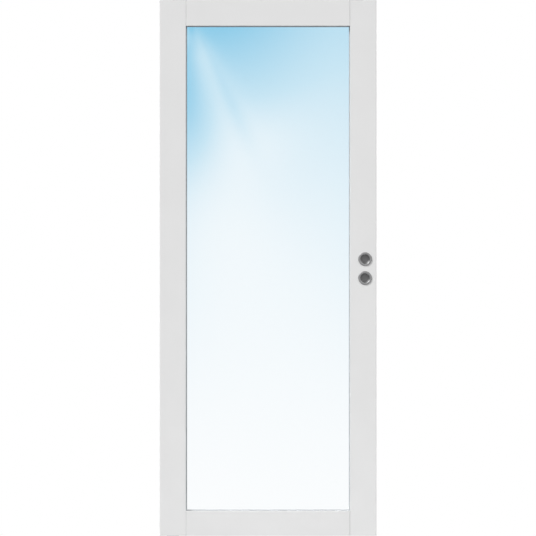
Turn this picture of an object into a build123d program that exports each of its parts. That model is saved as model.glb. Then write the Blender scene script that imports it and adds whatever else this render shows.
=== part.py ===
"""A top-hung glazed sliding door.

A painted stile-and-rail leaf holds one tall pane between a front rebate and beads at the back. Round flush
pulls sit in both faces of the lock stile, over a hook lock. Two trolleys carry the leaf in a head track,
and a fin on the floor runs in the groove along its bottom edge.

Millimetres, +Z up, X along the track, front face towards -Y. The origin lies on the track's fixing face,
over the middle of the closed leaf.
"""

import os

from build123d import *

# Leaf
LEAF_WIDTH = 825.0
LEAF_HEIGHT = 2040.0
LEAF_THICKNESS = 40.0
STILE_WIDTH = 100.0
TOP_RAIL_HEIGHT = 98.5
BOTTOM_RAIL_HEIGHT = 96.0
ARRIS_RADIUS = 2.0
SEAM_CHAMFER = 2.0
SIGHT_EASE = 1.0
REBATE_COVER = 12.0

# Glazing
GLASS_THICKNESS = 4.0
GLASS_EDGE_GAP = 2.0
GASKET_THICKNESS = 2.0
GASKET_SIGHT = 4.5
GASKET_TIP = 0.8
GASKET_RISE = 2.0
BEAD_SPLAY = 3.0

# Round flush pulls
PULL_HEIGHT = 1018.0
PULL_PITCH = 72.0
PULL_BACKSET = 43.0
PULL_DIAMETER = 52.0
PULL_RIM_RISE = 3.0
PULL_RIM_ROUND = 2.0
PULL_MOUTH_DIAMETER = 34.5
PULL_MOUTH_ROUND = 4.0
PULL_FLOOR_DIAMETER = 32.0
PULL_FLOOR_ROUND = 3.0
PULL_RECESS_DEPTH = 11.5
PULL_BODY_DIAMETER = 44.0
PULL_BODY_DEPTH = 11.5
PULL_HOLE_CLEARANCE = 0.2

# Countersunk holes for the screws that fix the hanger plates and the forend
SCREW_HOLE_DIAMETER = 4.6
SCREW_HEAD_DIAMETER = 8.6
SCREW_HEAD_DEPTH = 2.2

# Hook lock in the edge of the lock stile
FOREND_WIDTH = 22.0
FOREND_THICKNESS = 3.0
FOREND_HEIGHT = 210.0
FOREND_CLEARANCE = 0.2
FOREND_SCREW_SPACING = 180.0
LOCK_CASE_THICKNESS = 15.0
LOCK_CASE_DEPTH = 68.0
LOCK_CASE_HEIGHT = 150.0
LOCK_CASE_CLEARANCE = 0.5
HOOK_SLOT_WIDTH = 9.0
HOOK_SLOT_HEIGHT = 48.0
HOOK_THICKNESS = 6.0
HOOK_RADIUS = 20.0
HOOK_THROAT_RADIUS = 11.0
HOOK_SETBACK = 1.0
HOOK_CLEARANCE = 0.3

# Head track
TRACK_WIDTH = 34.0
TRACK_HEIGHT = 34.0
TRACK_WALL = 2.5
TRACK_LIP_THICKNESS = 3.0
TRACK_SLOT = 12.0
TRACK_CORNER_RADIUS = 1.2
TRACK_OVERRUN = 20.0
TRACK_HOLE_DIAMETER = 5.5
TRACK_HOLE_COUNT = 6
TRACK_HOLE_END = 60.0

# Trolleys and hangers
HANGER_GAP = 18.0
HANGER_INSET = 72.0
HANGER_PLATE_LENGTH = 50.0
HANGER_PLATE_WIDTH = 26.0
HANGER_PLATE_THICKNESS = 4.0
HANGER_PLATE_CORNER = 4.0
HANGER_SCREW_SPACING_X = 36.0
HANGER_SCREW_SPACING_Y = 14.0
BOLT_DIAMETER = 8.0
BOLT_CLEARANCE = 0.1
BOLT_TAIL = 10.0
BOLT_TAIL_HOLE_DIAMETER = 11.0
BOLT_TAIL_HOLE_DEPTH = 14.0
BOLT_THREAD_DEPTH = 10.5
NUT_ACROSS_FLATS = 13.0
NUT_HEIGHT = 6.5
TROLLEY_LENGTH = 64.0
TROLLEY_WIDTH = 12.0
TROLLEY_HEIGHT = 12.0
TROLLEY_CORNER = 4.0
TROLLEY_BOSS_DIAMETER = 11.0
TROLLEY_BOSS_HEIGHT = 2.5
WHEEL_DIAMETER = 20.0
WHEEL_WIDTH = 6.5
WHEEL_SPACING = 42.0
WHEEL_CHAMFER = 0.8
WHEEL_HUB_DIAMETER = 9.0
WHEEL_DISH_DIAMETER = 15.0
WHEEL_DISH_DEPTH = 1.0
WHEEL_RUNNING_GAP = 0.3
AXLE_DIAMETER = 5.0
AXLE_CLEARANCE = 0.1
AXLE_SHOULDER_DIAMETER = 9.0
AXLE_SHOULDER = 1.5

# End stops in the track
STOP_CLEARANCE = 5.0
STOP_LENGTH = 22.0
STOP_WIDTH = 27.0
STOP_HEIGHT = 18.0
STOP_TONGUE_CLEARANCE = 0.2
BUFFER_LENGTH = 7.0
BUFFER_DIAMETER = 11.0
BUFFER_CHAMFER = 1.6

# Floor guide and the groove that it runs in
FLOOR_GAP = 8.0
GROOVE_WIDTH = 8.0
GROOVE_DEPTH = 18.0
GUIDE_CLEARANCE = 0.5
GUIDE_ENGAGEMENT = 12.0
GUIDE_FIN_LENGTH = 46.0
GUIDE_BASE_LENGTH = 80.0
GUIDE_BASE_WIDTH = 24.0
GUIDE_BASE_THICKNESS = 3.0
GUIDE_HOLE_SPACING = 63.0
GUIDE_HOLE_DIAMETER = 4.5

# Levels, faces and places worked out from the sizes above
FRONT = -LEAF_THICKNESS / 2
BACK = LEAF_THICKNESS / 2
LEAF_EDGE = LEAF_WIDTH / 2
LEAF_TOP = -(TRACK_HEIGHT + HANGER_GAP)
LEAF_BOTTOM = LEAF_TOP - LEAF_HEIGHT
FLOOR = LEAF_BOTTOM - FLOOR_GAP
TRAVEL = LEAF_WIDTH - STILE_WIDTH

SIGHT_X = LEAF_EDGE - STILE_WIDTH
SIGHT_LOW = LEAF_BOTTOM + BOTTOM_RAIL_HEIGHT
SIGHT_HIGH = LEAF_TOP - TOP_RAIL_HEIGHT
GLASS_FACE = GLASS_THICKNESS / 2
GASKET_FACE = GLASS_FACE + GASKET_THICKNESS

PULL_X = LEAF_EDGE - PULL_BACKSET
LOCK_Z = LEAF_BOTTOM + PULL_HEIGHT
PULL_UPPER_Z = LOCK_Z + PULL_PITCH / 2
PULL_LOWER_Z = LOCK_Z - PULL_PITCH / 2
CASE_FRONT_X = LEAF_EDGE - FOREND_THICKNESS

TRACK_RIGHT = LEAF_EDGE
TRACK_LEFT = -LEAF_EDGE - TRAVEL - TRACK_OVERRUN
TRACK_BORE_HALF = TRACK_WIDTH / 2 - TRACK_WALL
LIP_TOP = -(TRACK_HEIGHT - TRACK_LIP_THICKNESS)
AXLE_Z = LIP_TOP + WHEEL_RUNNING_GAP + WHEEL_DIAMETER / 2
HANGER_X = LEAF_EDGE - HANGER_INSET
WHEEL_INNER_Y = TROLLEY_WIDTH / 2 + AXLE_SHOULDER
GUIDE_X = -LEAF_EDGE + (LEAF_WIDTH - TRAVEL) / 2

THROUGH = 10.0  # how far a cutting tool runs past the face that it starts from


# Shared forms


def block(x_low, x_high, y_low, y_high, z_low, z_high):
    """A box between two limits on each axis."""
    centre = Pos((x_low + x_high) / 2, (y_low + y_high) / 2, (z_low + z_high) / 2)
    return centre * Box(x_high - x_low, y_high - y_low, z_high - z_low)


def sight_block(grow, y_low, y_high):
    """A box with the outline of the pane's sight opening, grown by an even margin."""
    return block(-SIGHT_X - grow, SIGHT_X + grow, y_low, y_high, SIGHT_LOW - grow, SIGHT_HIGH + grow)


def sight_funnel(grow_low, y_low, grow_high, y_high):
    """A tapered block whose outline follows the sight opening with another margin at each end."""
    middle = (SIGHT_LOW + SIGHT_HIGH) / 2
    height = SIGHT_HIGH - SIGHT_LOW
    ends = []
    for grow, y in ((grow_low, y_low), (grow_high, y_high)):
        plane = Plane(origin=(0, y, middle), x_dir=(1, 0, 0), z_dir=(0, -1, 0))
        ends.append(plane * Rectangle(2 * (SIGHT_X + grow), height + 2 * grow))
    return loft(ends)


def cross_pin(x, z, diameter, y_low, y_high):
    """A round bar across the door's thickness."""
    plane = Plane(origin=(x, y_low, z), x_dir=(1, 0, 0), z_dir=(0, 1, 0))
    return extrude(plane * Circle(diameter / 2), y_high - y_low)


def upright_pin(x, y, diameter, z_low, z_high):
    """A round bar that stands upright."""
    return Pos(x, y, z_low) * extrude(Circle(diameter / 2), z_high - z_low)


def countersink(place):
    """A cutting tool for one countersunk screw hole whose mouth lies at the given place, opening along +Z."""
    hole = Cylinder(SCREW_HOLE_DIAMETER / 2, 2 * THROUGH)
    head = Pos(0, 0, -SCREW_HEAD_DEPTH / 2) * Cone(SCREW_HOLE_DIAMETER / 2, SCREW_HEAD_DIAMETER / 2, SCREW_HEAD_DEPTH)
    return place * (hole + head)


# Leaf frame


def glazing_rebate():
    """The step cut from the back round the opening, which takes the pane, its gaskets and the beads."""
    step = sight_block(REBATE_COVER, -GASKET_FACE, BACK + THROUGH)
    return step + sight_funnel(0, FRONT + SIGHT_EASE, SIGHT_EASE + THROUGH, FRONT - THROUGH)


def guide_groove():
    """The groove along the whole bottom edge."""
    return block(
        -LEAF_EDGE - THROUGH, LEAF_EDGE + THROUGH,
        -GROOVE_WIDTH / 2, GROOVE_WIDTH / 2,
        LEAF_BOTTOM - THROUGH, LEAF_BOTTOM + GROOVE_DEPTH,
    )


def stile(side):
    """A full-height stile, -1 for the trailing one and +1 for the lock one, with its outer edges eased."""
    plan = Pos(side * (LEAF_EDGE - STILE_WIDTH / 2), 0) * Rectangle(STILE_WIDTH, LEAF_THICKNESS)
    outer = plan.vertices().sort_by(Axis.X)
    outer = outer[:2] if side < 0 else outer[2:]
    bar = Pos(0, 0, LEAF_BOTTOM) * extrude(fillet(outer, ARRIS_RADIUS), LEAF_HEIGHT)
    tail_hole = upright_pin(
        side * HANGER_X, 0, BOLT_TAIL_HOLE_DIAMETER, LEAF_TOP - BOLT_TAIL_HOLE_DEPTH, LEAF_TOP + THROUGH
    )
    return bar - glazing_rebate() - guide_groove() - tail_hole


def lock_stile():
    """The lock stile: the plain stile with holes for the pulls and a mortise for the lock."""
    bar = stile(1)
    hole = PULL_BODY_DIAMETER + 2 * PULL_HOLE_CLEARANCE
    for z in (PULL_UPPER_Z, PULL_LOWER_Z):
        bar -= cross_pin(PULL_X, z, hole, FRONT - THROUGH, BACK + THROUGH)
    side = LOCK_CASE_THICKNESS / 2 + LOCK_CASE_CLEARANCE
    end = LOCK_CASE_HEIGHT / 2 + LOCK_CASE_CLEARANCE
    mortise = block(
        CASE_FRONT_X - LOCK_CASE_DEPTH - LOCK_CASE_CLEARANCE, LEAF_EDGE + THROUGH,
        -side, side,
        LOCK_Z - end, LOCK_Z + end,
    )
    return bar - mortise - forend_outline(FOREND_CLEARANCE, LEAF_EDGE + THROUGH)


def rail(low, high):
    """A rail between the stiles. Its ends are chamfered on both faces, which leaves a fine seam groove."""
    plan = Rectangle(2 * SIGHT_X, LEAF_THICKNESS)
    plan = chamfer(plan.vertices(), SEAM_CHAMFER)
    return Pos(0, 0, low) * extrude(plan, high - low) - glazing_rebate() - guide_groove()


# Glazing


def glass_pane():
    return sight_block(REBATE_COVER - GLASS_EDGE_GAP, -GLASS_FACE, GLASS_FACE)


def front_gasket():
    """A strip between the rebate and the pane, with a sloping lip that shows round the sight opening."""
    tip = GASKET_FACE + GASKET_RISE
    strip = sight_block(REBATE_COVER - GLASS_EDGE_GAP, -GASKET_FACE, -GLASS_FACE)
    lip = sight_block(0, -tip, -GASKET_FACE)
    return strip + lip - sight_funnel(-GASKET_SIGHT, -GLASS_FACE, -GASKET_TIP, -tip)


def glazing_beads():
    """Four mitred beads that close the rebate at the back, by name."""
    ring = sight_block(REBATE_COVER, GASKET_FACE, BACK) - sight_block(0, GASKET_FACE, BACK)
    ring -= sight_funnel(0, BACK - BEAD_SPLAY, BEAD_SPLAY, BACK)
    inner = [(-SIGHT_X, SIGHT_LOW), (SIGHT_X, SIGHT_LOW), (SIGHT_X, SIGHT_HIGH), (-SIGHT_X, SIGHT_HIGH)]
    outer = [
        (x + REBATE_COVER * (1 if x > 0 else -1), z + REBATE_COVER * (1 if z == SIGHT_HIGH else -1))
        for x, z in inner
    ]
    plane = Plane(origin=(0, BACK, 0), x_dir=(1, 0, 0), z_dir=(0, -1, 0))
    beads = {}
    for index, name in enumerate(("bottom", "lock", "top", "trailing")):
        following = (index + 1) % 4
        mitre = Polygon(outer[index], outer[following], inner[following], inner[index], align=None)
        beads[f"glazing_bead_{name}"] = ring & extrude(plane * mitre, BACK - GASKET_FACE)
    return beads


# Flush pulls and hook lock


def flush_pull(z, side):
    """A dished round pull pressed into one face, -1 for the front and +1 for the back."""
    floor = PULL_RIM_RISE - PULL_RECESS_DEPTH
    rim, mouth = PULL_DIAMETER / 2, PULL_MOUTH_DIAMETER / 2
    body, base = PULL_BODY_DIAMETER / 2, PULL_FLOOR_DIAMETER / 2
    outline = Polyline(
        (0, floor), (base, floor), (mouth, PULL_RIM_RISE), (rim, PULL_RIM_RISE),
        (rim, 0), (body, 0), (body, -PULL_BODY_DEPTH), (0, -PULL_BODY_DEPTH), close=True,
    )
    section = make_face(outline)
    rounds = (
        ((base, floor), PULL_FLOOR_ROUND),
        ((mouth, PULL_RIM_RISE), PULL_MOUTH_ROUND),
        ((rim, PULL_RIM_RISE), PULL_RIM_ROUND),
    )
    for (x, y), radius in rounds:
        corner = section.vertices().sort_by_distance((x, y, 0))[0]
        section = fillet(corner, radius)
    face = FRONT if side < 0 else BACK
    cup = revolve(Plane(origin=(0, 0, 0), x_dir=(1, 0, 0), z_dir=(0, 0, 1)) * section, Axis.Y)
    turn = Rot(0, 0, 180) if side < 0 else Rot(0, 0, 0)
    return Pos(PULL_X, face, z) * turn * cup


def forend_outline(grow, x_high):
    """The forend's round-ended outline, from its back face out to a given place."""
    plane = Plane(origin=(CASE_FRONT_X, 0, LOCK_Z), x_dir=(0, 0, 1), z_dir=(1, 0, 0))
    outline = SlotOverall(FOREND_HEIGHT + 2 * grow, FOREND_WIDTH + 2 * grow)
    return extrude(plane * outline, x_high - CASE_FRONT_X)


def hook_slot():
    """The slot in the forend that the hook swings out through."""
    plane = Plane(origin=(CASE_FRONT_X, 0, LOCK_Z), x_dir=(0, 0, 1), z_dir=(1, 0, 0))
    return extrude(plane * SlotOverall(HOOK_SLOT_HEIGHT, HOOK_SLOT_WIDTH), FOREND_THICKNESS + THROUGH)


def lock_forend():
    plate = forend_outline(0, LEAF_EDGE) - hook_slot()
    for z in (LOCK_Z - FOREND_SCREW_SPACING / 2, LOCK_Z + FOREND_SCREW_SPACING / 2):
        plate -= countersink(Pos(LEAF_EDGE, 0, z) * Rot(0, 90, 0))
    return plate


def hook_centre_x():
    """The hook's pivot, set so that the drawn-in hook stays just behind the forend's face."""
    return LEAF_EDGE - HOOK_SETBACK - HOOK_RADIUS


def hook_bolt():
    """A claw cut from flat steel: a disc with a throat bitten out under its beak."""
    plane = Plane(origin=(hook_centre_x(), -HOOK_THICKNESS / 2, LOCK_Z), x_dir=(1, 0, 0), z_dir=(0, 1, 0))
    throat = Pos(HOOK_THROAT_RADIUS, -HOOK_THROAT_RADIUS / 2) * Circle(HOOK_THROAT_RADIUS / 2)
    mouth = Pos(HOOK_RADIUS, -HOOK_THROAT_RADIUS / 2) * Rectangle(2 * (HOOK_RADIUS - HOOK_THROAT_RADIUS), HOOK_THROAT_RADIUS)
    return extrude(plane * (Circle(HOOK_RADIUS) - throat - mouth), HOOK_THICKNESS)


def lock_case():
    """The closed case behind the forend, with a pocket for the drawn-in hook."""
    case = block(
        CASE_FRONT_X - LOCK_CASE_DEPTH, CASE_FRONT_X,
        -LOCK_CASE_THICKNESS / 2, LOCK_CASE_THICKNESS / 2,
        LOCK_Z - LOCK_CASE_HEIGHT / 2, LOCK_Z + LOCK_CASE_HEIGHT / 2,
    )
    side = HOOK_THICKNESS / 2 + HOOK_CLEARANCE
    reach = HOOK_RADIUS + HOOK_CLEARANCE
    pocket = block(
        hook_centre_x() - reach, CASE_FRONT_X + THROUGH, -side, side, LOCK_Z - reach, LOCK_Z + reach
    )
    return case - pocket


# Head track, trolleys and hangers


def track_section():
    """The extruded track: a channel that is open below, with a running lip on each side of the slot."""
    outer = Pos(0, -TRACK_HEIGHT / 2) * Rectangle(TRACK_WIDTH, TRACK_HEIGHT)
    outer = fillet(outer.vertices(), TRACK_CORNER_RADIUS)
    bore_height = TRACK_HEIGHT - TRACK_WALL - TRACK_LIP_THICKNESS
    bore = Pos(0, -TRACK_WALL - bore_height / 2) * Rectangle(2 * TRACK_BORE_HALF, bore_height)
    slot = Pos(0, -TRACK_HEIGHT) * Rectangle(TRACK_SLOT, 2 * TRACK_LIP_THICKNESS)
    return outer - bore - slot


def track_hole_places():
    """X places of the screw holes, evenly spaced between the two end holes."""
    first, last = TRACK_LEFT + TRACK_HOLE_END, TRACK_RIGHT - TRACK_HOLE_END
    step = (last - first) / (TRACK_HOLE_COUNT - 1)
    return [first + step * index for index in range(TRACK_HOLE_COUNT)]


def head_track():
    plane = Plane(origin=(TRACK_LEFT, 0, 0), x_dir=(0, 1, 0), z_dir=(1, 0, 0))
    track = extrude(plane * track_section(), TRACK_RIGHT - TRACK_LEFT)
    for x in track_hole_places():
        track -= upright_pin(x, 0, TRACK_HOLE_DIAMETER, -TRACK_WALL - THROUGH / 2, THROUGH)
    return track


def wheel_places(centre):
    return [centre - WHEEL_SPACING / 2, centre + WHEEL_SPACING / 2]


def trolley_foot():
    """The underside of the boss that the hanger bolt screws into."""
    return AXLE_Z - TROLLEY_HEIGHT / 2 - TROLLEY_BOSS_HEIGHT


def trolley(centre):
    """The trolley's block with its axles, and the threaded hole that takes the hanger bolt."""
    plan = fillet(Rectangle(TROLLEY_LENGTH, TROLLEY_WIDTH).vertices(), TROLLEY_CORNER)
    body = Pos(centre, 0, AXLE_Z - TROLLEY_HEIGHT / 2) * extrude(plan, TROLLEY_HEIGHT)
    reach = WHEEL_INNER_Y + WHEEL_WIDTH
    for x in wheel_places(centre):
        body += cross_pin(x, AXLE_Z, AXLE_SHOULDER_DIAMETER, -WHEEL_INNER_Y, WHEEL_INNER_Y)
        body += cross_pin(x, AXLE_Z, AXLE_DIAMETER, -reach, reach)
    low = trolley_foot()
    body += upright_pin(centre, 0, TROLLEY_BOSS_DIAMETER, low, low + 2 * TROLLEY_BOSS_HEIGHT)
    return body - upright_pin(centre, 0, BOLT_DIAMETER + 2 * BOLT_CLEARANCE, low - THROUGH, low + BOLT_THREAD_DEPTH)


def wheel(x, side):
    """A nylon wheel on one side of a trolley, dished on its outer face."""
    inner, outer = WHEEL_INNER_Y, WHEEL_INNER_Y + WHEEL_WIDTH
    tyre = cross_pin(x, AXLE_Z, WHEEL_DIAMETER, inner, outer)
    tyre = chamfer(tyre.edges().filter_by(GeomType.CIRCLE), WHEEL_CHAMFER)
    dish = cross_pin(x, AXLE_Z, WHEEL_DISH_DIAMETER, outer - WHEEL_DISH_DEPTH, outer + THROUGH)
    dish -= cross_pin(x, AXLE_Z, WHEEL_HUB_DIAMETER, outer - WHEEL_DISH_DEPTH, outer + THROUGH)
    bore = cross_pin(x, AXLE_Z, AXLE_DIAMETER + 2 * AXLE_CLEARANCE, inner - THROUGH, outer + THROUGH)
    made = tyre - dish - bore
    return made if side > 0 else mirror(made, Plane.XZ)


def trolley_wheels(centre):
    return Compound([wheel(x, side).solid() for x in wheel_places(centre) for side in (-1, 1)])


def hanger_plate(centre):
    """The plate screwed to the top edge of a stile."""
    plan = fillet(Rectangle(HANGER_PLATE_LENGTH, HANGER_PLATE_WIDTH).vertices(), HANGER_PLATE_CORNER)
    plate = Pos(centre, 0, LEAF_TOP) * extrude(plan, HANGER_PLATE_THICKNESS)
    top = LEAF_TOP + HANGER_PLATE_THICKNESS
    plate -= upright_pin(centre, 0, BOLT_DIAMETER + 2 * BOLT_CLEARANCE, LEAF_TOP - THROUGH, top + THROUGH)
    for x in (centre - HANGER_SCREW_SPACING_X / 2, centre + HANGER_SCREW_SPACING_X / 2):
        for y in (-HANGER_SCREW_SPACING_Y / 2, HANGER_SCREW_SPACING_Y / 2):
            plate -= countersink(Pos(x, y, top))
    return plate


def hanger_bolt(centre):
    """The bolt that joins plate and trolley, with its lock nut run down on the plate."""
    low = LEAF_TOP - BOLT_TAIL
    high = trolley_foot() + BOLT_THREAD_DEPTH
    nut_plane = Plane(origin=(centre, 0, LEAF_TOP + HANGER_PLATE_THICKNESS))
    nut = extrude(nut_plane * RegularPolygon(NUT_ACROSS_FLATS / 2, 6, major_radius=False), NUT_HEIGHT)
    return upright_pin(centre, 0, BOLT_DIAMETER, low, high) + nut


# End stops


def stop_face(side):
    """Where the buffer's nose stands, clear of the trolley at that end of the travel."""
    trolley_end = HANGER_X + TROLLEY_LENGTH / 2 + STOP_CLEARANCE
    return trolley_end if side > 0 else -trolley_end - TRAVEL


def end_stop(side):
    """A block that sits on the lips, with a tongue that keys it in the slot."""
    start = stop_face(side) + side * BUFFER_LENGTH
    low, high = sorted((start, start + side * STOP_LENGTH))
    tongue = TRACK_SLOT / 2 - STOP_TONGUE_CLEARANCE
    return block(low, high, -STOP_WIDTH / 2, STOP_WIDTH / 2, LIP_TOP, LIP_TOP + STOP_HEIGHT) + block(
        low, high, -tongue, tongue, LIP_TOP - TRACK_LIP_THICKNESS, LIP_TOP
    )


def stop_buffer(side):
    """The rubber nose of a stop, which meets the trolley's end."""
    plane = Plane(origin=(stop_face(side), 0, AXLE_Z), x_dir=(0, 1, 0), z_dir=(side, 0, 0))
    nose = extrude(plane * Circle(BUFFER_DIAMETER / 2), BUFFER_LENGTH)
    rim = nose.edges().filter_by(GeomType.CIRCLE).sort_by(Axis.X)
    return chamfer(rim[0] if side > 0 else rim[-1], BUFFER_CHAMFER)


# Floor guide


def floor_guide():
    """A round-ended base on the floor with a fin that stands up into the leaf's groove."""
    plane = Plane(origin=(GUIDE_X, 0, FLOOR))
    base = extrude(plane * SlotOverall(GUIDE_BASE_LENGTH, GUIDE_BASE_WIDTH), GUIDE_BASE_THICKNESS)
    fin_width = GROOVE_WIDTH - 2 * GUIDE_CLEARANCE
    fin = extrude(plane * SlotOverall(GUIDE_FIN_LENGTH, fin_width), FLOOR_GAP + GUIDE_ENGAGEMENT)
    guide = base + fin
    for x in (GUIDE_X - GUIDE_HOLE_SPACING / 2, GUIDE_X + GUIDE_HOLE_SPACING / 2):
        guide -= upright_pin(x, 0, GUIDE_HOLE_DIAMETER, FLOOR - THROUGH, FLOOR + THROUGH)
    return guide


def door_pieces():
    """Every piece of the door, by name."""
    pieces = {
        "trailing_stile": stile(-1),
        "lock_stile": lock_stile(),
        "top_rail": rail(SIGHT_HIGH, LEAF_TOP),
        "bottom_rail": rail(LEAF_BOTTOM, SIGHT_LOW),
        "glass_pane": glass_pane(),
        "front_glazing_gasket": front_gasket(),
        "rear_glazing_gasket": mirror(front_gasket(), Plane.XZ),
        "front_upper_pull": flush_pull(PULL_UPPER_Z, -1),
        "front_lower_pull": flush_pull(PULL_LOWER_Z, -1),
        "rear_upper_pull": flush_pull(PULL_UPPER_Z, 1),
        "rear_lower_pull": flush_pull(PULL_LOWER_Z, 1),
        "lock_case": lock_case(),
        "lock_forend": lock_forend(),
        "hook_bolt": hook_bolt(),
        "head_track": head_track(),
        "closed_stop": end_stop(1),
        "closed_buffer": stop_buffer(1),
        "open_stop": end_stop(-1),
        "open_buffer": stop_buffer(-1),
        "floor_guide": floor_guide(),
    }
    pieces.update(glazing_beads())
    for name, centre in (("trailing", -HANGER_X), ("lock_side", HANGER_X)):
        pieces[f"{name}_hanger_plate"] = hanger_plate(centre)
        pieces[f"{name}_hanger_bolt"] = hanger_bolt(centre)
        pieces[f"{name}_trolley"] = trolley(centre)
        pieces[f"{name}_trolley_wheels"] = trolley_wheels(centre)
    return pieces


os.makedirs("parts", exist_ok=True)
for node, shape in door_pieces().items():
    shape.label = node
    export_step(shape, f"parts/{node}.step")
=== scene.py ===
"""A top-hung glazed sliding door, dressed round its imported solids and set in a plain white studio."""

import math

import bmesh
import bpy
from mathutils import Matrix, Vector


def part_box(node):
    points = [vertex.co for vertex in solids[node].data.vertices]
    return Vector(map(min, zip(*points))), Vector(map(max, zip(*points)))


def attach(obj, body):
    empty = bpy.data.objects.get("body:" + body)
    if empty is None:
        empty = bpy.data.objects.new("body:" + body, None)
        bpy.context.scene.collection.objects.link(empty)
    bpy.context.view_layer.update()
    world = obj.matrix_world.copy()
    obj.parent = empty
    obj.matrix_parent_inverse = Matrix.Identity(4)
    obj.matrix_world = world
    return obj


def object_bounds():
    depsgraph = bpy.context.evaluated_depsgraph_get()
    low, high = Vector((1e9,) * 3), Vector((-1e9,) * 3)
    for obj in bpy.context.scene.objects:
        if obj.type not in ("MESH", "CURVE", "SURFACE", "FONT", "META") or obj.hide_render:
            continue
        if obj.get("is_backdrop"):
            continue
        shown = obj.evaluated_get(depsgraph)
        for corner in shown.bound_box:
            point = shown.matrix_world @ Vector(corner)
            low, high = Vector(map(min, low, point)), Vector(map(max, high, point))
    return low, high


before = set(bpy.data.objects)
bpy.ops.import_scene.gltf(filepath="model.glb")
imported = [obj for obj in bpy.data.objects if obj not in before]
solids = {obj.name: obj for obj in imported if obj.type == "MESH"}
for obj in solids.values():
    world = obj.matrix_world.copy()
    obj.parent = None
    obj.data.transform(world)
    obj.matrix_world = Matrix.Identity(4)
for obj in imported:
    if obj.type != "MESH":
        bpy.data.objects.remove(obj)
cad_low, cad_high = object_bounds()


# Stiles and rails
# Two full-height stiles with two rails between them, of glued softwood, with a fine seam at each joint.
# They are sprayed with satin white lacquer, a fine orange peel through which a little grain still shows.

LACQUER_WHITES = ((0.754, 0.754, 0.754), (0.768, 0.768, 0.768))
PEEL_PER_METRE = 1300
PEEL_DEPTH = 0.000018
GRAIN_PER_METRE = 400
GRAIN_PACKING = 0.025
GRAIN_DEPTH = 0.000080


def add_node(tree, kind, sockets=None, **settings):
    """Adds one shader node. A socket that is given another node's output is linked to it."""
    made = tree.nodes.new(kind)
    for name, value in settings.items():
        setattr(made, name, value)
    for name, value in (sockets or {}).items():
        if isinstance(value, bpy.types.NodeSocket):
            tree.links.new(value, made.inputs[name])
        else:
            made.inputs[name].default_value = value
    return made


class Finish:
    """The finish of one material, which knows the place on its piece in metres."""

    # Nearly all of a cloudy pattern lies between these two values.
    CLOUD_LOW = 0.3
    CLOUD_HIGH = 0.7

    def __init__(self, name, **plain):
        """The plain values are the same all over the surface, such as Metallic."""
        self.material = bpy.data.materials.new(name)
        self.material.use_nodes = True
        self.tree = self.material.node_tree
        self.shader = self.tree.nodes["Principled BSDF"]
        for socket, value in plain.items():
            self.shader.inputs[socket.replace("_", " ")].default_value = value
        self.place = self.node("ShaderNodeTexCoord").outputs["Object"]

    def node(self, kind, sockets=None, **settings):
        """Adds one node to this finish."""
        return add_node(self.tree, kind, sockets, **settings)

    def feed(self, socket, value):
        """Lets a node's output drive a socket of the surface."""
        self.tree.links.new(value, self.shader.inputs[socket])

    def clouds(self, per_metre, packing=(1, 1, 1), detail=2.0):
        """A soft random pattern with so many clouds in a metre. Low packing draws them out along its axis."""
        packed = self.node("ShaderNodeMapping", {"Vector": self.place, "Scale": packing})
        sockets = {"Vector": packed.outputs["Vector"], "Scale": per_metre, "Detail": detail}
        return self.node("ShaderNodeTexNoise", sockets).outputs["Fac"]

    def tones(self, value, *steps):
        """A colour that runs through (value, (red, green, blue)) steps."""
        ramp = self.node("ShaderNodeValToRGB", {"Fac": value})
        marks = ramp.color_ramp.elements
        while len(marks) < len(steps):
            marks.new(position=0.5)
        for mark, (position, colour) in zip(marks, steps):
            mark.position = position
            mark.color = (*colour, 1)
        return ramp.outputs["Color"]

    def vary_colour(self, pattern, *colours):
        """Lets a pattern run the colour from the first to the last of a few close ones."""
        step = (self.CLOUD_HIGH - self.CLOUD_LOW) / (len(colours) - 1)
        steps = [(self.CLOUD_LOW + step * index, colour) for index, colour in enumerate(colours)]
        self.feed("Base Color", self.tones(pattern, *steps))

    def vary_roughness(self, pattern, smooth, rough):
        """Lets a pattern run the roughness between two values."""
        span = {"Value": pattern, "From Min": self.CLOUD_LOW, "From Max": self.CLOUD_HIGH}
        span.update({"To Min": smooth, "To Max": rough})
        self.feed("Roughness", self.node("ShaderNodeMapRange", span).outputs["Result"])

    def raise_skin(self, pattern, depth):
        """Raises a pattern over the surface, on top of any that it has, with its depth in metres."""
        raised = self.node("ShaderNodeBump", {"Height": pattern, "Distance": depth})
        for link in self.shader.inputs["Normal"].links:
            self.tree.links.new(link.from_socket, raised.inputs["Normal"])
        self.feed("Normal", raised.outputs["Normal"])

    def coat(self, *names):
        """Gives this finish to solids that keep their own shape."""
        for name in names:
            solids[name].data.materials.clear()
            solids[name].data.materials.append(self.material)


def lacquer(name, grain_along):
    """Satin white lacquer on timber whose grain runs along X or Z."""
    finish = Finish(name, IOR=1.46)
    shade = finish.clouds(per_metre=6)
    finish.vary_colour(shade, *LACQUER_WHITES)
    finish.vary_roughness(shade, smooth=0.40, rough=0.48)
    packing = [GRAIN_PACKING if axis == grain_along else 1 for axis in "XYZ"]
    finish.raise_skin(finish.clouds(GRAIN_PER_METRE, packing, detail=3.0), GRAIN_DEPTH)
    finish.raise_skin(finish.clouds(PEEL_PER_METRE), PEEL_DEPTH)
    return finish


upright_lacquer = lacquer("satin_white_lacquer_on_uprights", grain_along="Z")
level_lacquer = lacquer("satin_white_lacquer_on_rails", grain_along="X")
upright_lacquer.coat("trailing_stile", "lock_stile")
level_lacquer.coat("top_rail", "bottom_rail")


# Glass pane
# One sheet of clear float glass, held all round in the rebate between two gaskets.
# Its colour holds a painted sky reflection: deep at the top, run out to clear below, with pale painted rays
# of light from the upper left.

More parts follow.
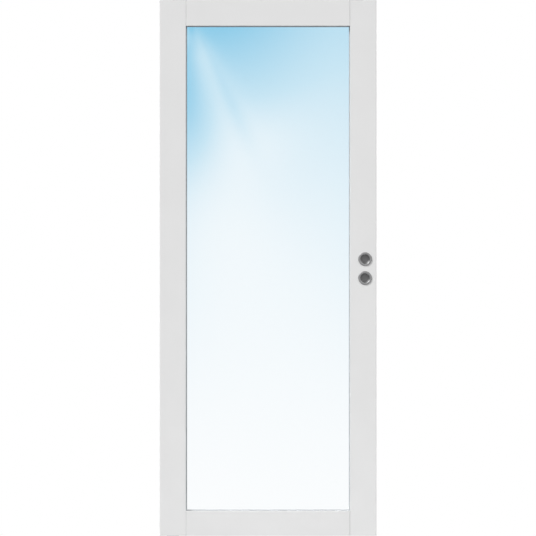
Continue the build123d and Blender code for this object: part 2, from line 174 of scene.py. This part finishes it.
CLEAR = (1.0, 1.0, 1.0)
PALE_PAINTED_SKY = (0.567, 0.784, 0.902)
DEEP_PAINTED_SKY = (0.253, 0.596, 0.810)
SIGHT_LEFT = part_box("trailing_stile")[1].x
SIGHT_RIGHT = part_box("lock_stile")[0].x
SIGHT_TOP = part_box("top_rail")[0].z

# A painted sky of 0 is clear glass and one of 1 is the deep painted sky. Places are measured from the upper
# left sight corner.
LEFT_BAND = 0.10
PAINTED_SKY_AT_LEFT = 1.014
PAINTED_SKY_AT_RIGHT = 0.614
PAINTED_SKY_RUN_AT_LEFT = 0.577
PAINTED_SKY_RUN_AT_RIGHT = 0.714
SIDE_PAINTED_SKY = 0.043
SIDE_PAINTED_SKY_DOWN = 0.813
SIDE_PAINTED_SKY_RUN = 0.564
RAY_SOURCE_ACROSS = 0.022
RAY_SOURCE_ABOVE = 0.042
RAY_START = 0.177
PAINTED_GLARE = 0.370
PAINTED_GLARE_ACROSS = -0.019
PAINTED_GLARE_DOWN = 0.041
PAINTED_GLARE_WIDTH = 0.045


class Measure:
    """A value that changes over a surface, and can be reckoned with as a number can."""

    def __init__(self, tree, socket):
        self.tree = tree
        self.socket = socket

    def work(self, operation, other=None, other_first=False):
        """One step of reckoning, with this measure alone or with another measure or number."""
        terms = [self] if other is None else [other, self] if other_first else [self, other]
        sockets = {index: getattr(term, "socket", term) for index, term in enumerate(terms)}
        made = add_node(self.tree, "ShaderNodeMath", sockets, operation=operation)
        return Measure(self.tree, made.outputs["Value"])

    def __add__(self, other):
        return self.work("ADD", other)

    def __sub__(self, other):
        return self.work("SUBTRACT", other)

    def __rsub__(self, other):
        return self.work("SUBTRACT", other, other_first=True)

    def __mul__(self, other):
        return self.work("MULTIPLY", other)

    def __truediv__(self, other):
        return self.work("DIVIDE", other)

    def between(self, first, last):
        """Runs from a first value, where this is 0, to a last one, where it is 1."""
        return self * (last - first) + first

    def rise(self, low, high):
        """0 up to a low value, 1 from a high one, and a smooth rise between them."""
        sockets = {"Value": self.socket, "From Min": low, "From Max": high}
        made = add_node(self.tree, "ShaderNodeMapRange", sockets, interpolation_type="SMOOTHSTEP")
        return Measure(self.tree, made.outputs["Result"])

    def fade(self):
        """1 at nothing, and less and less as the value grows."""
        return (self * -1.0).work("EXPONENT")

    def bell(self, middle, width):
        """1 at a middle value, and a smooth fall on both sides of it."""
        off = (self - middle) / width
        return (off * off).fade()


def distance(one_way, square_to_it):
    """How far off a place is that lies so far one way and so far square to it."""
    return (one_way * one_way + square_to_it * square_to_it).work("SQRT")


def coordinates(tree, place):
    """The place on a piece as three measures."""
    parts = add_node(tree, "ShaderNodeSeparateXYZ", {"Vector": place}).outputs
    return [Measure(tree, parts[axis]) for axis in "XYZ"]


glass = Finish("glass_with_painted_sky_reflection", Transmission_Weight=1.0, Roughness=0.0, IOR=1.45)
x, _, z = coordinates(glass.tree, glass.place)
across = x - SIGHT_LEFT
down = SIGHT_TOP - z

# The painted sky reflection runs out downwards, sooner at the left than at the right, and later along both
# sides.
rightward = across.rise(LEFT_BAND, SIGHT_RIGHT - SIGHT_LEFT)
strongest = rightward.between(PAINTED_SKY_AT_LEFT, PAINTED_SKY_AT_RIGHT)
run_down = rightward.between(PAINTED_SKY_RUN_AT_LEFT, PAINTED_SKY_RUN_AT_RIGHT)
painted_sky = (down / run_down).fade() * strongest
off_centre = x / SIGHT_RIGHT
side_painted_sky = off_centre * off_centre * down.bell(SIDE_PAINTED_SKY_DOWN, SIDE_PAINTED_SKY_RUN) * SIDE_PAINTED_SKY

# The painted rays of light spread from a point just over the upper left corner, which has a painted glare,
# and end in a pale painted patch.
# A deep painted streak parts them, and another runs down the left edge.
ray_across = across - RAY_SOURCE_ACROSS
ray_down = down + RAY_SOURCE_ABOVE
bearing = ray_across.work("ARCTAN2", ray_down)
reach = distance(ray_across, ray_down)


def streak(degrees, spread, along, middle, run, strength):
    """A painted streak of sky reflection on a bearing from the rays' source, which fades all round its
    middle.
    """
    return bearing.bell(math.radians(degrees), math.radians(spread)) * along.bell(middle, run) * strength


left_edge = streak(degrees=0.0, spread=16.9, along=down, middle=0.285, run=0.284, strength=0.628)
parting = streak(degrees=24.0, spread=4.0, along=reach, middle=0.378, run=0.201, strength=0.104)
rays = streak(degrees=8.1, spread=19.3, along=reach, middle=0.0, run=0.689, strength=0.611)
rays = rays * reach.rise(0, RAY_START)
patch = streak(degrees=31.6, spread=21.7, along=reach, middle=0.531, run=0.150, strength=0.117)
painted_glare = distance(across - PAINTED_GLARE_ACROSS, down - PAINTED_GLARE_DOWN).bell(middle=0.0, width=PAINTED_GLARE_WIDTH) * PAINTED_GLARE
painted_sky_reflection = painted_sky + side_painted_sky + left_edge + parting - rays - patch - painted_glare

# The sky reflection, its rays of light and the glare are painted into the colour of the glass.
glass.feed("Base Color", glass.tones(painted_sky_reflection.socket, (0.0, CLEAR), (0.5, PALE_PAINTED_SKY), (1.0, DEEP_PAINTED_SKY)))
glass.coat("glass_pane")

# Light goes through the pane, so it casts no shadow.
solids["glass_pane"].visible_shadow = False


# Glazing gaskets
# Extruded grey rubber strips that bed the pane on both faces, pressed in between the rebate and the beads.
# Each has a sloping lip towards the room, and the fine matt grain of rubber.

GASKET_GREYS = ((0.34, 0.36, 0.38), (0.39, 0.41, 0.43))

gasket_rubber = Finish("grey_gasket_rubber")
grain = gasket_rubber.clouds(per_metre=900)
gasket_rubber.vary_colour(grain, *GASKET_GREYS)
gasket_rubber.vary_roughness(grain, smooth=0.55, rough=0.70)
gasket_rubber.raise_skin(grain, depth=0.000025)
gasket_rubber.coat("front_glazing_gasket", "rear_glazing_gasket")


# Glazing beads
# Four softwood beads, mitred and pinned in from the back, in the same lacquer as the frame.
# Their arrises are eased, and the pins' heads, punched level, show as faint round marks under the lacquer.

BEAD_EASING = 0.0006
EASING_STEPS = 2
SAME_CORNER = 0.000001
FLAT_WITHIN = math.radians(0.5)
SHARP_FROM = math.radians(40)
PIN_RADIUS = 0.0012
PIN_RISE = 0.0002
PIN_SIDES = 16
PIN_SPACING = 0.26
PIN_FROM_CORNER = 0.045
PIN_FROM_REBATE = 0.0045
DOME_STEPS = 5
DOME_FULLNESS = 2 / 3


def ease_edges(width, *names):
    """Takes the sharp arrises off solids, once each flat side of their meshes is joined into one face."""
    for name in names:
        joined = solids[name].modifiers.new("joined", "WELD")
        joined.merge_threshold = SAME_CORNER
        flat = solids[name].modifiers.new("flat", "DECIMATE")
        flat.decimate_type = "DISSOLVE"
        flat.angle_limit = FLAT_WITHIN
        eased = solids[name].modifiers.new("eased", "BEVEL")
        eased.width = width
        eased.segments = EASING_STEPS
        eased.limit_method = "ANGLE"
        eased.angle_limit = SHARP_FROM


def closed_mesh(name, made):
    """The mesh that a mesh in the making ends as, with all its faces turned outwards."""
    mesh = bpy.data.meshes.new(name)
    bmesh.ops.recalc_face_normals(made, faces=made.faces)
    made.to_mesh(mesh)
    made.free()
    return mesh


def domed(radius, rise):
    """The outline of a full, domed head, from its middle out to its rim."""
    angles = [math.pi / 2 * step / DOME_STEPS for step in range(DOME_STEPS + 1)]
    return [(radius * math.sin(a) ** DOME_FULLNESS, rise * math.cos(a) ** DOME_FULLNESS) for a in angles]


def turned(name, outline, sides):
    """A mesh turned about Z from (radius, height) points that start and end on the axis."""
    made = bmesh.new()
    points = [made.verts.new((radius, 0, height)) for radius, height in outline]
    lines = [made.edges.new(ends) for ends in zip(points, points[1:])]
    bmesh.ops.spin(
        made, geom=points + lines, axis=(0, 0, 1), cent=(0, 0, 0),
        angle=2 * math.pi, steps=sides, use_merge=True,
    )
    bmesh.ops.remove_doubles(made, verts=made.verts, dist=SAME_CORNER)
    return closed_mesh(name, made)


def put_in_scene(name, data):
    """Adds a mesh, a lamp or a camera to the scene."""
    placed = bpy.data.objects.new(name, data)
    bpy.context.scene.collection.objects.link(placed)
    return placed


def new_piece(name, mesh, finish, body, at, facing=(0, 0, 1)):
    """Puts a mesh made along Z where it belongs, facing a given way, to move with a body of the door."""
    mesh.transform(Vector((0, 0, 1)).rotation_difference(Vector(facing)).to_matrix().to_4x4())
    mesh.shade_smooth()
    mesh.set_sharp_from_angle(angle=SHARP_FROM)
    mesh.materials.clear()
    mesh.materials.append(finish.material)
    piece = put_in_scene(name, mesh)
    piece.location = at
    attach(piece, body)
    return piece


for side in ("top", "bottom", "trailing", "lock"):
    bead = f"glazing_bead_{side}"
    level = side in ("top", "bottom")
    bead_lacquer = level_lacquer if level else upright_lacquer
    bead_lacquer.coat(bead)
    ease_edges(BEAD_EASING, bead)
    low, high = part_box(bead)
    if level:
        height = high.z - PIN_FROM_REBATE if side == "top" else low.z + PIN_FROM_REBATE
        first = Vector((low.x + PIN_FROM_CORNER, high.y, height))
        last = Vector((high.x - PIN_FROM_CORNER, high.y, height))
    else:
        aside = low.x + PIN_FROM_REBATE if side == "trailing" else high.x - PIN_FROM_REBATE
        first = Vector((aside, high.y, low.z + PIN_FROM_CORNER))
        last = Vector((aside, high.y, high.z - PIN_FROM_CORNER))
    pin = turned("pin", [*domed(PIN_RADIUS, PIN_RISE), (0, 0)], PIN_SIDES)
    pins = new_piece(
        f"{side}_bead_pins", pin, bead_lacquer, "leaf", at=first, facing=(0, 1, 0)
    )
    gaps = max(1, round((last - first).length / PIN_SPACING))
    row = pins.modifiers.new("row", "ARRAY")
    row.count = gaps + 1
    row.use_relative_offset = False
    row.use_constant_offset = True
    row.constant_offset_displace = (last - first) / gaps


# Flush pulls
# Round cups of turned stainless steel, pressed into both faces of the lock stile.
# The lathe leaves fine rings on the rim and the dish, and painted shade darkens the dish towards its floor.

DISH_DEPTH = 0.0115
DISH_WALL_FROM = 0.45
DISH_FLOOR_STEEL_IN_PAINTED_SHADE = (0.142, 0.142, 0.144)
DISH_WALL_STEEL_IN_PAINTED_SHADE = (0.205, 0.205, 0.207)
RIM_STEEL = (0.255, 0.255, 0.258)
LATHE_RINGS_PER_METRE = 2600
upper_low, upper_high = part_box("front_upper_pull")
lower_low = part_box("front_lower_pull")[0]
PULL_X = (upper_low.x + upper_high.x) / 2
PULL_HALF_PITCH = (upper_low.z - lower_low.z) / 2
PULL_RIM = -upper_low.y
LOCK_Z = (upper_high.z + lower_low.z) / 2

turned_steel = Finish("turned_satin_steel", Metallic=1.0, Anisotropic=0.35, Anisotropic_Rotation=0.25)
x, y, z = coordinates(turned_steel.tree, turned_steel.place)
from_pull = distance(x - PULL_X, (z - LOCK_Z).work("ABSOLUTE") - PULL_HALF_PITCH)
# Painted shade: the steel's colour darkens with depth into the dish, down to its floor.
out_of_dish = (y.work("ABSOLUTE") - (PULL_RIM - DISH_DEPTH)) / DISH_DEPTH
steel_with_painted_dish_shade = turned_steel.tones(
    out_of_dish.socket, (0.0, DISH_FLOOR_STEEL_IN_PAINTED_SHADE), (DISH_WALL_FROM, DISH_WALL_STEEL_IN_PAINTED_SHADE), (1.0, RIM_STEEL)
)
turned_steel.feed("Base Color", steel_with_painted_dish_shade)
lathe = {"W": from_pull.socket, "Scale": LATHE_RINGS_PER_METRE, "Detail": 2.0}
lathe_rings = turned_steel.node("ShaderNodeTexNoise", lathe, noise_dimensions="1D").outputs["Fac"]
turned_steel.vary_roughness(lathe_rings, smooth=0.46, rough=0.56)
turned_steel.raise_skin(lathe_rings, depth=0.000015)
around = turned_steel.node("ShaderNodeTangent", direction_type="RADIAL", axis="Y")
turned_steel.feed("Tangent", around.outputs["Tangent"])
turned_steel.coat("front_upper_pull", "front_lower_pull", "rear_upper_pull", "rear_lower_pull")


# Hook lock
# A mortise lock in the edge of the lock stile: a brushed steel forend with two countersunk screws.
# Behind its slot stand the zinc-plated case and hook.

BRUSHED_GREYS = ((0.36, 0.36, 0.365), (0.46, 0.46, 0.465))
ZINC_TONES = ((0.50, 0.51, 0.53), (0.58, 0.58, 0.58), (0.60, 0.58, 0.53))
FOREND_EASING = 0.0003
FOREND_SCREW_SPACING = 0.180
COUNTERSUNK_RADIUS = 0.0041
COUNTERSUNK_EDGE = 0.0002
COUNTERSUNK_SHANK = 0.0021
COUNTERSUNK_LENGTH = 0.0029
DRIVE_DEPTH = 0.0014
DRIVE_TAPER = 0.45
DRIVE_WIDTH = 0.0009
DRIVE_SPAN = 0.0042

# 8 doesn't divide this number of sides, so no edge of a head meets an inner corner of its cross.
SCREW_SIDES = 36

brushed_steel = Finish("brushed_satin_steel", Metallic=1.0)
strokes = brushed_steel.clouds(per_metre=300, packing=(1, 6, 0.05), detail=3.0)
brushed_steel.vary_colour(strokes, *BRUSHED_GREYS)
brushed_steel.vary_roughness(strokes, smooth=0.28, rough=0.42)
brushed_steel.raise_skin(strokes, depth=0.00001)
brushed_steel.coat("lock_forend")
ease_edges(FOREND_EASING, "lock_forend")

zinc = Finish("bright_zinc_plate", Metallic=1.0)
spangle = zinc.clouds(per_metre=90, detail=4.0)
zinc.vary_colour(spangle, *ZINC_TONES)
zinc.vary_roughness(spangle, smooth=0.26, rough=0.42)
zinc.raise_skin(zinc.clouds(per_metre=900), depth=0.000008)
zinc.coat("lock_case", "hook_bolt")


def cross_drive(top, width, span):
    """The tool that is driven into a screw's head: a cross whose arms taper downwards."""
    made = bmesh.new()
    rings = []
    for height, arm in ((top + DRIVE_DEPTH, span / 2), (top - DRIVE_DEPTH, span / 2 * DRIVE_TAPER)):
        ring = []
        for quarter in range(4):
            turn = Matrix.Rotation(math.pi / 2 * quarter, 3, "Z")
            for corner in ((arm, -width / 2), (arm, width / 2), (width / 2, width / 2)):
                ring.append(made.verts.new(turn @ Vector((*corner, height))))
        rings.append(ring)
    upper, lower = rings
    for index in range(len(upper)):
        made.faces.new((upper[index - 1], upper[index], lower[index], lower[index - 1]))
    made.faces.new(upper)
    made.faces.new(lower)
    return closed_mesh("cross", made)


def cross_head(name, outline, drive_width=DRIVE_WIDTH, drive_span=DRIVE_SPAN):
    """The mesh of a screw turned from an outline, with a cross driven into its head."""
    screw = put_in_scene(name, turned(name, outline, SCREW_SIDES))
    cross = put_in_scene("cross", cross_drive(outline[0][1], drive_width, drive_span))
    driven = screw.modifiers.new("driven", "BOOLEAN")
    driven.operation = "DIFFERENCE"
    driven.solver = "EXACT"
    driven.object = cross
    scene_now = bpy.context.evaluated_depsgraph_get()
    headed = bpy.data.meshes.new_from_object(screw.evaluated_get(scene_now))
    bpy.data.objects.remove(cross)
    bpy.data.objects.remove(screw)
    return headed


countersunk_screw = cross_head(
    "countersunk_screw",
    [
        (0, 0),
        (COUNTERSUNK_RADIUS - COUNTERSUNK_EDGE, 0),
        (COUNTERSUNK_RADIUS, -COUNTERSUNK_EDGE),
        (COUNTERSUNK_SHANK, COUNTERSUNK_SHANK - COUNTERSUNK_RADIUS - COUNTERSUNK_EDGE),
        (COUNTERSUNK_SHANK, -COUNTERSUNK_LENGTH),
        (0, -COUNTERSUNK_LENGTH),
    ],
)
forend_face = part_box("lock_forend")[1].x
for name, offset in (("lower", -FOREND_SCREW_SPACING / 2), ("upper", FOREND_SCREW_SPACING / 2)):
    new_piece(
        f"{name}_forend_screw", countersunk_screw.copy(), brushed_steel, "leaf",
        at=(forend_face, 0, LOCK_Z + offset), facing=(1, 0, 0),
    )


# Hangers
# A zinc-plated plate is fixed to the top of each stile by four countersunk screws.
# A threaded bolt with a lock nut rises from it, which sets the height of the leaf.

PLATE_EASING = 0.0003
HANGER_SCREW_SPACING_X = 0.036
HANGER_SCREW_SPACING_Y = 0.014
NUT_HEIGHT = 0.0065
BOLT_RADIUS = 0.0040
THREAD_PITCH = 0.00125
THREAD_HEIGHT = 0.00035
THREAD_SINK = 0.00012
THREAD_HALF_WIDTH = 0.42 * THREAD_PITCH
THREAD_STEPS = 28


def bolt_thread(low, high):
    """The ridge of a screw thread, wound up a plain bolt between two heights and run out at both ends."""
    made = bmesh.new()
    root = BOLT_RADIUS - THREAD_SINK
    start = low + THREAD_PITCH / 2
    turns = (high - low) / THREAD_PITCH - 1
    rows = []
    for step in range(int(turns * THREAD_STEPS) + 1):
        turn = step / THREAD_STEPS
        angle = 2 * math.pi * turn
        crest = BOLT_RADIUS + THREAD_HEIGHT * max(0.0, min(1.0, turn, turns - turn))
        middle = start + THREAD_PITCH * turn
        row = []
        for radius, rise in ((root, -THREAD_HALF_WIDTH), (crest, 0), (root, THREAD_HALF_WIDTH)):
            row.append(made.verts.new((radius * math.cos(angle), radius * math.sin(angle), middle + rise)))
        rows.append(row)
    for before, after in zip(rows, rows[1:]):
        for one, other in ((0, 1), (1, 2), (2, 0)):
            made.faces.new((before[one], after[one], after[other], before[other]))
    made.faces.new(rows[0])
    made.faces.new(rows[-1])
    return closed_mesh("thread", made)


for side in ("trailing", "lock_side"):
    zinc.coat(f"{side}_hanger_plate", f"{side}_hanger_bolt")
    ease_edges(PLATE_EASING, f"{side}_hanger_plate")
    plate_low, plate_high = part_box(f"{side}_hanger_plate")
    centre = (plate_low.x + plate_high.x) / 2
    screw_places = [
        (centre + side_x * HANGER_SCREW_SPACING_X / 2, side_y * HANGER_SCREW_SPACING_Y / 2, plate_high.z)
        for side_x, side_y in ((-1, -1), (-1, 1), (1, -1), (1, 1))
    ]
    for number, screw_place in enumerate(screw_places, start=1):
        new_piece(
            f"{side}_hanger_screw_{number}", countersunk_screw.copy(), zinc, "leaf",
            at=screw_place,
        )
    thread = bolt_thread(plate_high.z + NUT_HEIGHT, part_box(f"{side}_trolley")[0].z)
    new_piece(f"{side}_bolt_thread", thread, zinc, "leaf", at=(centre, 0, 0))


# Trolleys
# Die-cast zinc blocks with stub axles, each screwed on top of a hanger bolt.
# Their plain nylon wheels run on the two lips of the track.

NYLON_TONES = ((0.74, 0.74, 0.70), (0.80, 0.80, 0.77))

nylon = Finish("natural_nylon")
milkiness = nylon.clouds(per_metre=160)
nylon.vary_colour(milkiness, *NYLON_TONES)
nylon.vary_roughness(milkiness, smooth=0.36, rough=0.50)
nylon.raise_skin(nylon.clouds(per_metre=1200), depth=0.000012)
for side in ("trailing", "lock_side"):
    zinc.coat(f"{side}_trolley")
    nylon.coat(f"{side}_trolley_wheels")


# Head track and stops
# An extruded, satin-anodised channel that is screwed up into the head, with fine lines along its length.
# A rubber-nosed block is keyed in its slot near each end and clamped there by a screw from below.

ANODISED_GREYS = ((0.46, 0.47, 0.48), (0.53, 0.54, 0.55))
BUFFER_BLACKS = ((0.020, 0.020, 0.021), (0.035, 0.035, 0.036))
STOP_EASING = 0.0004
TRACK_WALL = 0.0025
TRACK_SCREW_FROM_END = 0.060
TRACK_SCREW_COUNT = 6
PAN_HEAD_RADIUS = 0.0048
PAN_HEAD_RISE = 0.0030
PAN_HEAD_SHANK = 0.0024
PAN_HEAD_LENGTH = 0.0022
PAN_HEAD_DRIVE_WIDTH = 0.0011
PAN_HEAD_DRIVE_SPAN = 0.0048

anodised = Finish("satin_anodised_aluminium", Metallic=1.0)
drawn_lines = anodised.clouds(per_metre=1100, packing=(0.006, 1, 1), detail=3.0)
anodised.vary_colour(drawn_lines, *ANODISED_GREYS)
anodised.vary_roughness(drawn_lines, smooth=0.36, rough=0.46)
anodised.raise_skin(drawn_lines, depth=0.000006)
anodised.coat("head_track", "closed_stop", "open_stop")
ease_edges(STOP_EASING, "closed_stop", "open_stop")

buffer_rubber = Finish("black_buffer_rubber")
specks = buffer_rubber.clouds(per_metre=700)
buffer_rubber.vary_colour(specks, *BUFFER_BLACKS)
buffer_rubber.vary_roughness(specks, smooth=0.60, rough=0.75)
buffer_rubber.raise_skin(specks, depth=0.000035)
buffer_rubber.coat("closed_buffer", "open_buffer")


def round_head_screw(name, radius, rise, shank, length, **drive):
    """The mesh of a screw with a domed head, whose underside lies at height 0."""
    below = [(shank, 0), (shank, -length), (0, -length)]
    return cross_head(name, [*domed(radius, rise), *below], **drive)


pan_head_screw = round_head_screw(
    "pan_head_screw", PAN_HEAD_RADIUS, PAN_HEAD_RISE, PAN_HEAD_SHANK, PAN_HEAD_LENGTH,
    drive_width=PAN_HEAD_DRIVE_WIDTH, drive_span=PAN_HEAD_DRIVE_SPAN,
)
track_low, track_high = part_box("head_track")
first_screw = track_low.x + TRACK_SCREW_FROM_END
screw_step = (track_high.x - TRACK_SCREW_FROM_END - first_screw) / (TRACK_SCREW_COUNT - 1)
for index in range(TRACK_SCREW_COUNT):
    new_piece(
        f"track_screw_{index + 1}", pan_head_screw.copy(), zinc, "track",
        at=(first_screw + screw_step * index, 0, track_high.z - TRACK_WALL), facing=(0, 0, -1),
    )
for name in ("closed_stop", "open_stop"):
    stop_low, stop_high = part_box(name)
    new_piece(
        f"{name}_screw", pan_head_screw.copy(), zinc, "track",
        at=((stop_low.x + stop_high.x) / 2, 0, stop_low.z), facing=(0, 0, -1),
    )


# Floor guide
# A fin on a round-ended base, moulded in one piece of grey plastic with a finely grained skin.
# Two low-headed screws hold it to the floor, and the groove under the leaf runs over the fin.

GUIDE_GREYS = ((0.23, 0.23, 0.24), (0.27, 0.27, 0.28))
GUIDE_EASING = 0.0003
GUIDE_BASE_THICKNESS = 0.003
GUIDE_SCREW_SPACING = 0.063
LOW_HEAD_RADIUS = 0.0042
LOW_HEAD_RISE = 0.0017
LOW_HEAD_SHANK = 0.0020
LOW_HEAD_LENGTH = 0.0028

moulded = Finish("grey_moulded_plastic")
skin = moulded.clouds(per_metre=1500)
moulded.vary_colour(skin, *GUIDE_GREYS)
moulded.vary_roughness(skin, smooth=0.50, rough=0.62)
moulded.raise_skin(skin, depth=0.00003)
moulded.coat("floor_guide")
ease_edges(GUIDE_EASING, "floor_guide")

low_head_screw = round_head_screw(
    "low_head_screw", LOW_HEAD_RADIUS, LOW_HEAD_RISE, LOW_HEAD_SHANK, LOW_HEAD_LENGTH
)
guide_low, guide_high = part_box("floor_guide")
guide_x = (guide_low.x + guide_high.x) / 2
for name, offset in (("outer", -GUIDE_SCREW_SPACING / 2), ("inner", GUIDE_SCREW_SPACING / 2)):
    new_piece(
        f"{name}_guide_screw", low_head_screw.copy(), zinc, "track",
        at=(guide_x + offset, 0, guide_low.z + GUIDE_BASE_THICKNESS),
    )


# Studio
# A pale floor that keeps the shadow near the door and runs out to white all round, in soft light:
# a key lamp from the upper left, a broad fill from the upper right and a softer lamp from behind.

WHITE = (1, 1, 1, 1)
FLOOR_HALF_SIZE = 20.0
FLOOR_DROP = 0.0005
FLOOR_RUN_OUT = (1.6, 3.2)
FLOOR_RUN_OUT_BEHIND = (0.35, 0.66)
FLOOR_BOUNCE = 0.4
FLOOR_SEEN = 0.78
AMBIENT = 0.27

floor_mesh = bpy.data.meshes.new("studio_floor")
floor_level = cad_low.z - FLOOR_DROP
floor_corners = [
    (side_x * FLOOR_HALF_SIZE, side_y * FLOOR_HALF_SIZE, floor_level)
    for side_x, side_y in ((-1, -1), (1, -1), (1, 1), (-1, 1))
]
floor_mesh.from_pydata(floor_corners, [], [(0, 1, 2, 3)])
put_in_scene("studio_floor", floor_mesh)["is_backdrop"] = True


def seen_white(tree):
    """1 for rays that show the background to the camera, in metal or through glass, and 0 for the rest."""
    path = add_node(tree, "ShaderNodeLightPath").outputs
    straight, mirrored, through = (
        Measure(tree, path[name]) for name in ("Is Camera Ray", "Is Glossy Ray", "Is Transmission Ray")
    )
    return straight.work("MAXIMUM", mirrored).work("MAXIMUM", through)


floor_paint = bpy.data.materials.new("pale_studio_floor")
floor_paint.use_nodes = True
tree = floor_paint.node_tree
tree.nodes.clear()
x, y, _ = coordinates(tree, add_node(tree, "ShaderNodeTexCoord").outputs["Object"])
from_door = distance(x - (cad_low.x + cad_high.x) / 2, y)
run_out = from_door.rise(*FLOOR_RUN_OUT).work("MAXIMUM", y.rise(*FLOOR_RUN_OUT_BEHIND))
seen = seen_white(tree)
matt = add_node(tree, "ShaderNodeBsdfDiffuse", {"Color": seen.between(FLOOR_BOUNCE, FLOOR_SEEN).socket})
white = add_node(tree, "ShaderNodeEmission", {"Color": WHITE, "Strength": 1.0})
share = (run_out * seen).socket
above = add_node(tree, "ShaderNodeMixShader", {0: share, 1: matt.outputs[0], 2: white.outputs[0]})

# From below, the floor is clear and shows the underside of the door.
underside = add_node(tree, "ShaderNodeNewGeometry").outputs["Backfacing"]
clear = add_node(tree, "ShaderNodeBsdfTransparent")
both = add_node(tree, "ShaderNodeMixShader", {0: underside, 1: above.outputs[0], 2: clear.outputs[0]})
add_node(tree, "ShaderNodeOutputMaterial", {"Surface": both.outputs[0]})
floor_mesh.materials.append(floor_paint)

world = bpy.data.worlds.new("white_studio")
world.use_nodes = True
bpy.context.scene.world = world
tree = world.node_tree
tree.nodes.clear()
brightness = seen_white(tree).between(AMBIENT, 1.0)
backdrop = add_node(tree, "ShaderNodeBackground", {"Color": WHITE, "Strength": brightness.socket})
add_node(tree, "ShaderNodeOutputWorld", {"Surface": backdrop.outputs[0]})


def far_lamp(name, shining, strength, breadth):
    """A lamp far away that shines in one direction, so many degrees broad. The pane doesn't show it."""
    lamp = bpy.data.lights.new(name, "SUN")
    lamp.energy = strength
    lamp.angle = math.radians(breadth)
    placed = put_in_scene(name, lamp)
    placed.rotation_euler = Vector(shining).to_track_quat("-Z", "Y").to_euler()
    placed.visible_transmission = False


far_lamp("key_from_upper_left", shining=(0.62, 0.43, -0.65), strength=3.2, breadth=10)
far_lamp("fill_from_upper_right", shining=(-0.60, 0.60, -0.53), strength=0.80, breadth=25)
far_lamp("lamp_behind", shining=(-0.40, -0.85, -0.30), strength=1.8, breadth=30)


# Camera
# A long lens square on to the front, far enough away to show the leaf without perspective.
# The leaf fills the height of the picture.

CAMERA_DISTANCE = 90.0
SENSOR = 36.0

leaf_low, leaf_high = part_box("trailing_stile")
lens = bpy.data.cameras.new("front_camera")
lens.sensor_width = SENSOR
lens.lens = SENSOR * CAMERA_DISTANCE / (leaf_high.z - leaf_low.z)
lens.clip_end = 2 * CAMERA_DISTANCE
camera = put_in_scene("front_camera", lens)
camera.location = (0, leaf_low.y - CAMERA_DISTANCE, (leaf_low.z + leaf_high.z) / 2)
camera.rotation_euler = (math.pi / 2, 0, 0)
bpy.context.scene.camera = camera
bpy.context.scene.view_settings.view_transform = "Standard"

low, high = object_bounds()
